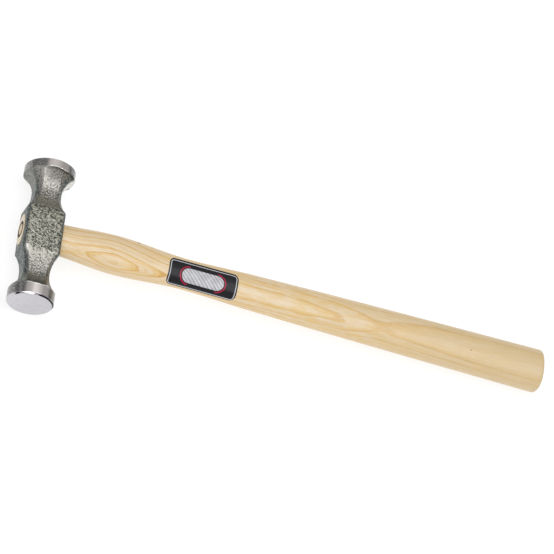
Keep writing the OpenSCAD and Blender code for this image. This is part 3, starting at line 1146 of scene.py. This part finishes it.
@dataclass
class RingWedge:
    """The steel tube driven into the end grain, with barb grooves and a lead ground to an edge."""

    finish: WedgeFinish = field(default_factory=WedgeFinish)
    axis_y: float = 44.0
    outer_x: float = -11.7
    ring_d: float = 9.0
    ring_wall: float = 1.0
    ring_l: float = 11.0
    groove: float = 0.25
    groove_pitch: float = 1.6
    groove_count: int = 3
    lead_l: float = 4.0
    edge_w: float = 0.2
    edge_round: float = 0.12
    sides: int = 96

    def profile(self, rounded: bool) -> Pairs:
        """Draw the tube's section.

        Args:
            rounded: eases the two edges that are seen.

        Returns:
            A closed outline as pairs of radius and distance from the outer end.
        """
        outer, inner, e = self.ring_d / 2, self.ring_d / 2 - self.ring_wall, self.edge_round
        section = [(outer, 0.0)]
        if rounded:
            section = [
                (inner, e), (inner + 0.3 * e, 0.3 * e), (inner + e, 0.0), (outer - e, 0.0),
                (outer - 0.3 * e, 0.3 * e), (outer, e),
            ]
        for i in range(1, self.groove_count + 1):
            at = i * self.groove_pitch
            section += [(outer, at), (outer - self.groove, at + self.groove)]
        end = self.ring_l
        section += [(outer, end - self.lead_l), (inner + self.edge_w, end), (inner, end)]
        return section if rounded else [*section, (inner, 0.0)]

    def turned(self, name: str, rounded: bool) -> Object:
        """Turn the tube on the lathe.

        Args:
            name: the object's name.
            rounded: eases the two edges that are seen.

        Returns:
            The tube.
        """
        section, turns = self.profile(rounded), full_circle(self.sides)
        rings = []
        for r, along in section:
            x = np.full_like(turns, self.outer_x + along)
            rings.append(np.stack([x, self.axis_y + r * np.cos(turns), r * np.sin(turns)], -1))
        return make_piece(name, np.concatenate(rings), ring_faces(len(section), self.sides, loop=True))

    def build(self) -> Object:
        """Build and dress the ring wedge.

        Returns:
            The ring wedge.
        """
        ring = self.turned("ring_wedge_tube", rounded=True)
        dress(ring, self.finish.material(), 40)
        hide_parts("ring_wedge")
        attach(ring, "root")
        return ring


@dataclass
class Handle:
    """The turned ash handle, from its end in the eye to its rounded butt."""

    form: HandleForm
    wedge: RingWedge
    finish: AshFinish = field(default_factory=AshFinish)
    end_proud: float = 0.4
    end_break: float = 0.4
    end_insets: Row = (5.4, 4.6, 2.6, 0.9)
    eye_stations: int = 12
    grip_start: float = 0.8
    station_step: float = 1.6
    butt_round: float = 2.0
    butt_crown: float = 0.5
    butt_heart: float = 2.6
    butt_steps: int = 8
    sides: int = 96

    def stations(self) -> list[Triple]:
        """List the handle's rings, from its end in the eye to its butt.

        Returns:
            For each ring, the x whose section it has, its depth under the skin, and the x where it stands.
        """
        form, block = self.form, self.form.block_x
        end_x, last_x = -block - self.end_proud, form.reach - self.butt_crown
        found = [(-block, inset, end_x) for inset in (*self.end_insets, self.end_break)]
        found.append((-block, self.end_break * 0.35, end_x + 0.12))
        found += [(x, 0.0, x) for x in np.linspace(-block, block - JUST_UNDER, self.eye_stations)]
        grip = np.arange(block + self.grip_start, last_x - self.butt_round, self.station_step)
        found += [(x, 0.0, x) for x in grip]
        for i in range(1, self.butt_steps + 1):
            turn = 0.5 * math.pi * i / self.butt_steps
            x = last_x - self.butt_round * (1 - math.sin(turn))
            found.append((x, self.butt_round * (1 - math.cos(turn)), x))
        for share in (0.75, 0.5, 0.25):
            inset = self.butt_round + (1 - share) * (form.butt_y * form.oval - self.butt_heart)
            found.append((last_x, inset, last_x + self.butt_crown * (1 - share**2)))
        return found

    def build(self) -> Object:
        """Build the handle as rings along its axis, cut the ring wedge's slot, and dress it.

        Returns:
            The handle.
        """
        form, stations = self.form, self.stations()
        rings = [form.ring(shape_x, inset, x, self.sides) for shape_x, inset, x in stations]
        handle = close_skin("ash_handle", rings, [[x, form.axis_y, 0] for x in (stations[0][2], form.reach)])
        cut_away(handle, self.wedge.turned("slot_tool", rounded=False))
        dress(handle, self.finish.material(), 35)
        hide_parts("handle")
        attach(handle, "root")
        return handle


@dataclass
class Label:
    """The thin printed film round the slim part of the handle."""

    form: HandleForm
    finish: LabelFinish = field(default_factory=LabelFinish)
    middle_x: float = 95.2
    long: float = 41.5
    high: float = 15.0
    corner: float = 3.0
    turn: float = 29.0
    lift: float = 0.14
    edge_lift: float = 0.005
    outline_step: float = 0.8
    reach_round: float = 1.7
    places_round: int = 171
    corner_places: int = 9
    steps: int = 16

    def outline(self) -> Array:
        """Draw the rounded rectangle.

        Returns:
            Rows of distance along and across the handle.
        """
        places = []
        for side_u, side_v, start in ((1, 1, 0), (-1, 1, 90), (-1, -1, 180), (1, -1, 270)):
            for angle in np.radians(np.linspace(start, start + 90, self.corner_places)):
                places.append((
                    side_u * (self.long / 2 - self.corner) + self.corner * math.cos(angle),
                    side_v * (self.high / 2 - self.corner) + self.corner * math.sin(angle),
                ))
        corners, dense = np.array(places), []
        for a, b in zip(corners, np.roll(corners, -1, 0)):
            count = max(1, round(float(np.linalg.norm(b - a)) / self.outline_step))
            dense += [a + (b - a) * k / count for k in range(count)]
        return np.array(dense)

    def wrap(self, flat: Array, lift: float) -> tuple[Array, Array]:
        """Lay flat places on the handle, straight down along the label's own direction.

        Args:
            flat: rows of distance along and across.
            lift: height above the wood.

        Returns:
            The points, and their distances round the handle from the label's middle line.
        """
        angle = math.radians(self.turn)
        turns = np.linspace(angle - self.reach_round, angle + self.reach_round, self.places_round)
        found, round_the_wood = [], []
        for u, v in flat:
            ring = self.form.points(np.full(len(turns), self.middle_x + u), turns, -lift)
            y, z = ring[:, 1] - self.form.axis_y, ring[:, 2]
            across = y * math.cos(angle) + z * math.sin(angle)
            order = np.argsort(across)
            turn = np.interp(v, across[order], turns[order])
            found.append(self.form.points(np.array([self.middle_x + u]), np.array([turn]), -lift)[0])
            length = np.concatenate([[0], np.cumsum(np.hypot(np.diff(y), np.diff(z)))])
            middle = np.interp(0.0, across[order], length[order])
            round_the_wood.append(middle - np.interp(turn, turns, length))
        return np.array(found), np.array(round_the_wood)

    def build(self) -> Object:
        """Build the film as nested outlines that shrink to its middle line, and dress it.

        Returns:
            The label.
        """
        outline, half_spine = self.outline(), (self.long - self.high) / 2
        spine = outline * [1 - self.high / self.long, 0]
        spine[:, 0] = np.clip(spine[:, 0], -half_spine, half_spine)
        shares = np.linspace(0, 1, self.steps + 1)
        flat = np.concatenate([outline + (spine - outline) * share for share in shares])
        edge, round_edge = self.wrap(outline, self.edge_lift)
        top, round_top = self.wrap(flat, self.lift)
        faces = ring_faces(self.steps + 2, len(outline))
        label = make_piece("label_film", np.concatenate([edge, top]), faces)
        put_attributes(label, {
            "label_u": np.concatenate([outline[:, 0], flat[:, 0]]),
            "label_v": np.concatenate([round_edge, round_top]),
        })
        dress(label, self.finish.material(), 50)
        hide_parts("label")
        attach(label, "root")
        return label


# The studio


class Lamp(Enum):
    """The studio's soft lights: place and aim in metres, width, height, and power in watts."""

    OVERHEAD = ((0.32, 0.0, 1.5), (0.1, 0.04, 0.0), 1.3, 1.3, 9.0)
    FRONT = ((-0.34, -1.0, 0.47), (0.0, 0.0, 0.0), 0.85, 0.22, 2.8)


@dataclass
class Studio:
    """The floor under the hammer, the lights, the room's glow and the camera."""

    floor: FloorFinish = field(default_factory=FloorFinish)
    azimuth: float = -30.91
    elevation: float = 56.28
    roll: float = -42.0
    distance: float = 1656.0
    focal_px: float = 2901.1
    target: Triple = (144.5, 44.0, 0.0)
    target_px: Pair = (280.05, 300.7)
    picture_px: float = 554.0
    sensor: float = 36.0
    clip: Pair = (0.1, 20.0)
    rests: Sequence[Row] = ((0.2, 0.9, -13.25), (0.2, 85.2, -14.6), (306.8, 44.0, -9.9))
    floor_gap: float = 0.03
    floor_from: Pair = (-2500.0, -2500.0)
    floor_to: Pair = (2800.0, 2600.0)
    room: Sequence[tuple[float, Colour]] = (
        (-1.0, (0.42, 0.425, 0.43)), (-0.12, (0.38, 0.385, 0.39)), (-0.04, (0.3, 0.3, 0.305)),
        (0.08, (0.3, 0.3, 0.305)), (0.25, (0.6, 0.605, 0.61)), (0.45, (0.48, 0.48, 0.48)),
        (0.65, (0.48, 0.48, 0.48)), (1.0, (0.9, 0.9, 0.9)),
    )

    def place_camera(self) -> None:
        """Put the camera so that the target shows at its place in the picture."""
        a, e, turn = (math.radians(v) for v in (self.azimuth, self.elevation, self.roll))
        back = Vector((math.sin(a) * math.cos(e), -math.cos(a) * math.cos(e), math.sin(e)))
        level = Vector((math.cos(a), math.sin(a), 0.0))
        upright = back.cross(level)
        right = math.cos(turn) * level - math.sin(turn) * upright
        up = math.sin(turn) * level + math.cos(turn) * upright
        per_px, middle = self.distance / self.focal_px, self.picture_px / 2
        aside, above = (self.target_px[0] - middle) * per_px, (middle - self.target_px[1]) * per_px
        spot = Vector(self.target) + self.distance * back - aside * right - above * up
        data = bpy.data.cameras.new("portrait_camera")
        data.sensor_width = self.sensor
        data.lens = self.focal_px / self.picture_px * self.sensor
        data.clip_start, data.clip_end = self.clip
        camera = put_in_scene("portrait_camera", data)
        camera.matrix_world = Matrix.Translation(spot * MM) @ Matrix((right, up, back)).transposed().to_4x4()
        bpy.context.scene.camera = camera

    def lay_floor(self) -> None:
        """Lay the floor through the three places that the hammer rests on: both rims and the butt."""
        flat_rim, crown_rim, butt = (np.array(rest) for rest in self.rests)
        normal = np.cross(crown_rim - flat_rim, butt - flat_rim)
        (left, low), (right, high) = self.floor_from, self.floor_to
        corners = []
        for x, y in ((left, low), (right, low), (right, high), (left, high)):
            z = flat_rim[2] - (normal[0] * (x - flat_rim[0]) + normal[1] * (y - flat_rim[1])) / normal[2]
            corners.append((x * MM, y * MM, (z - self.floor_gap) * MM))
        mesh = bpy.data.meshes.new("studio_floor")
        mesh.from_pydata(corners, [], [(0, 1, 2, 3)])
        mesh.materials.append(self.floor.material())
        floor = put_in_scene("studio_floor", mesh)

    def hang_lights(self) -> None:
        """Hang the soft lights."""
        for lamp in Lamp:
            place, aim, width, height, power = lamp.value
            data = bpy.data.lights.new(lamp.name.lower(), "AREA")
            data.shape = "RECTANGLE"
            data.size, data.size_y, data.energy = width, height, power
            light = put_in_scene(lamp.name.lower(), data)
            light.location = place
            light.rotation_euler = (Vector(aim) - Vector(place)).to_track_quat("-Z", "Y").to_euler()

    def light_room(self) -> None:
        """Set the room's own glow, which changes with height, and how its light is shown."""
        world = bpy.data.worlds.new("studio_room")
        r = Recipe(world)
        height = r.split(r.value("ShaderNodeTexCoord", {}, "Generated"))[2]
        glow = r.ramp((height + 1.0) * 0.5, [((stop + 1) / 2, colour) for stop, colour in self.room])
        r.node("ShaderNodeOutputWorld", {0: r.value("ShaderNodeBackground", {"Color": glow})})
        bpy.context.scene.world = world
        bpy.context.scene.view_settings.view_transform = "Standard"
        bpy.context.scene.view_settings.look = "None"

    def set_up(self) -> None:
        """Lay the floor, hang the lights, light the room and place the camera."""
        self.lay_floor()
        self.hang_lights()
        self.light_room()
        self.place_camera()


def main() -> None:
    """Build the hammer's pieces in order, set up the studio, and log the imported nodes and each piece's
    point count.
    """
    logging.basicConfig(level=logging.INFO, format="%(name)s: %(message)s")
    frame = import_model()
    LOG.info("packed nodes: %s", ", ".join(frame["nodes"]))
    form = HandleForm()
    wedge = RingWedge()
    for piece in (Head(form).build(), Handle(form, wedge).build(), wedge.build(), Label(form).build()):
        LOG.info("%s: %d points", piece.name, len(piece.data.vertices))
    Studio().set_up()


if __name__ == "__main__":
    main()
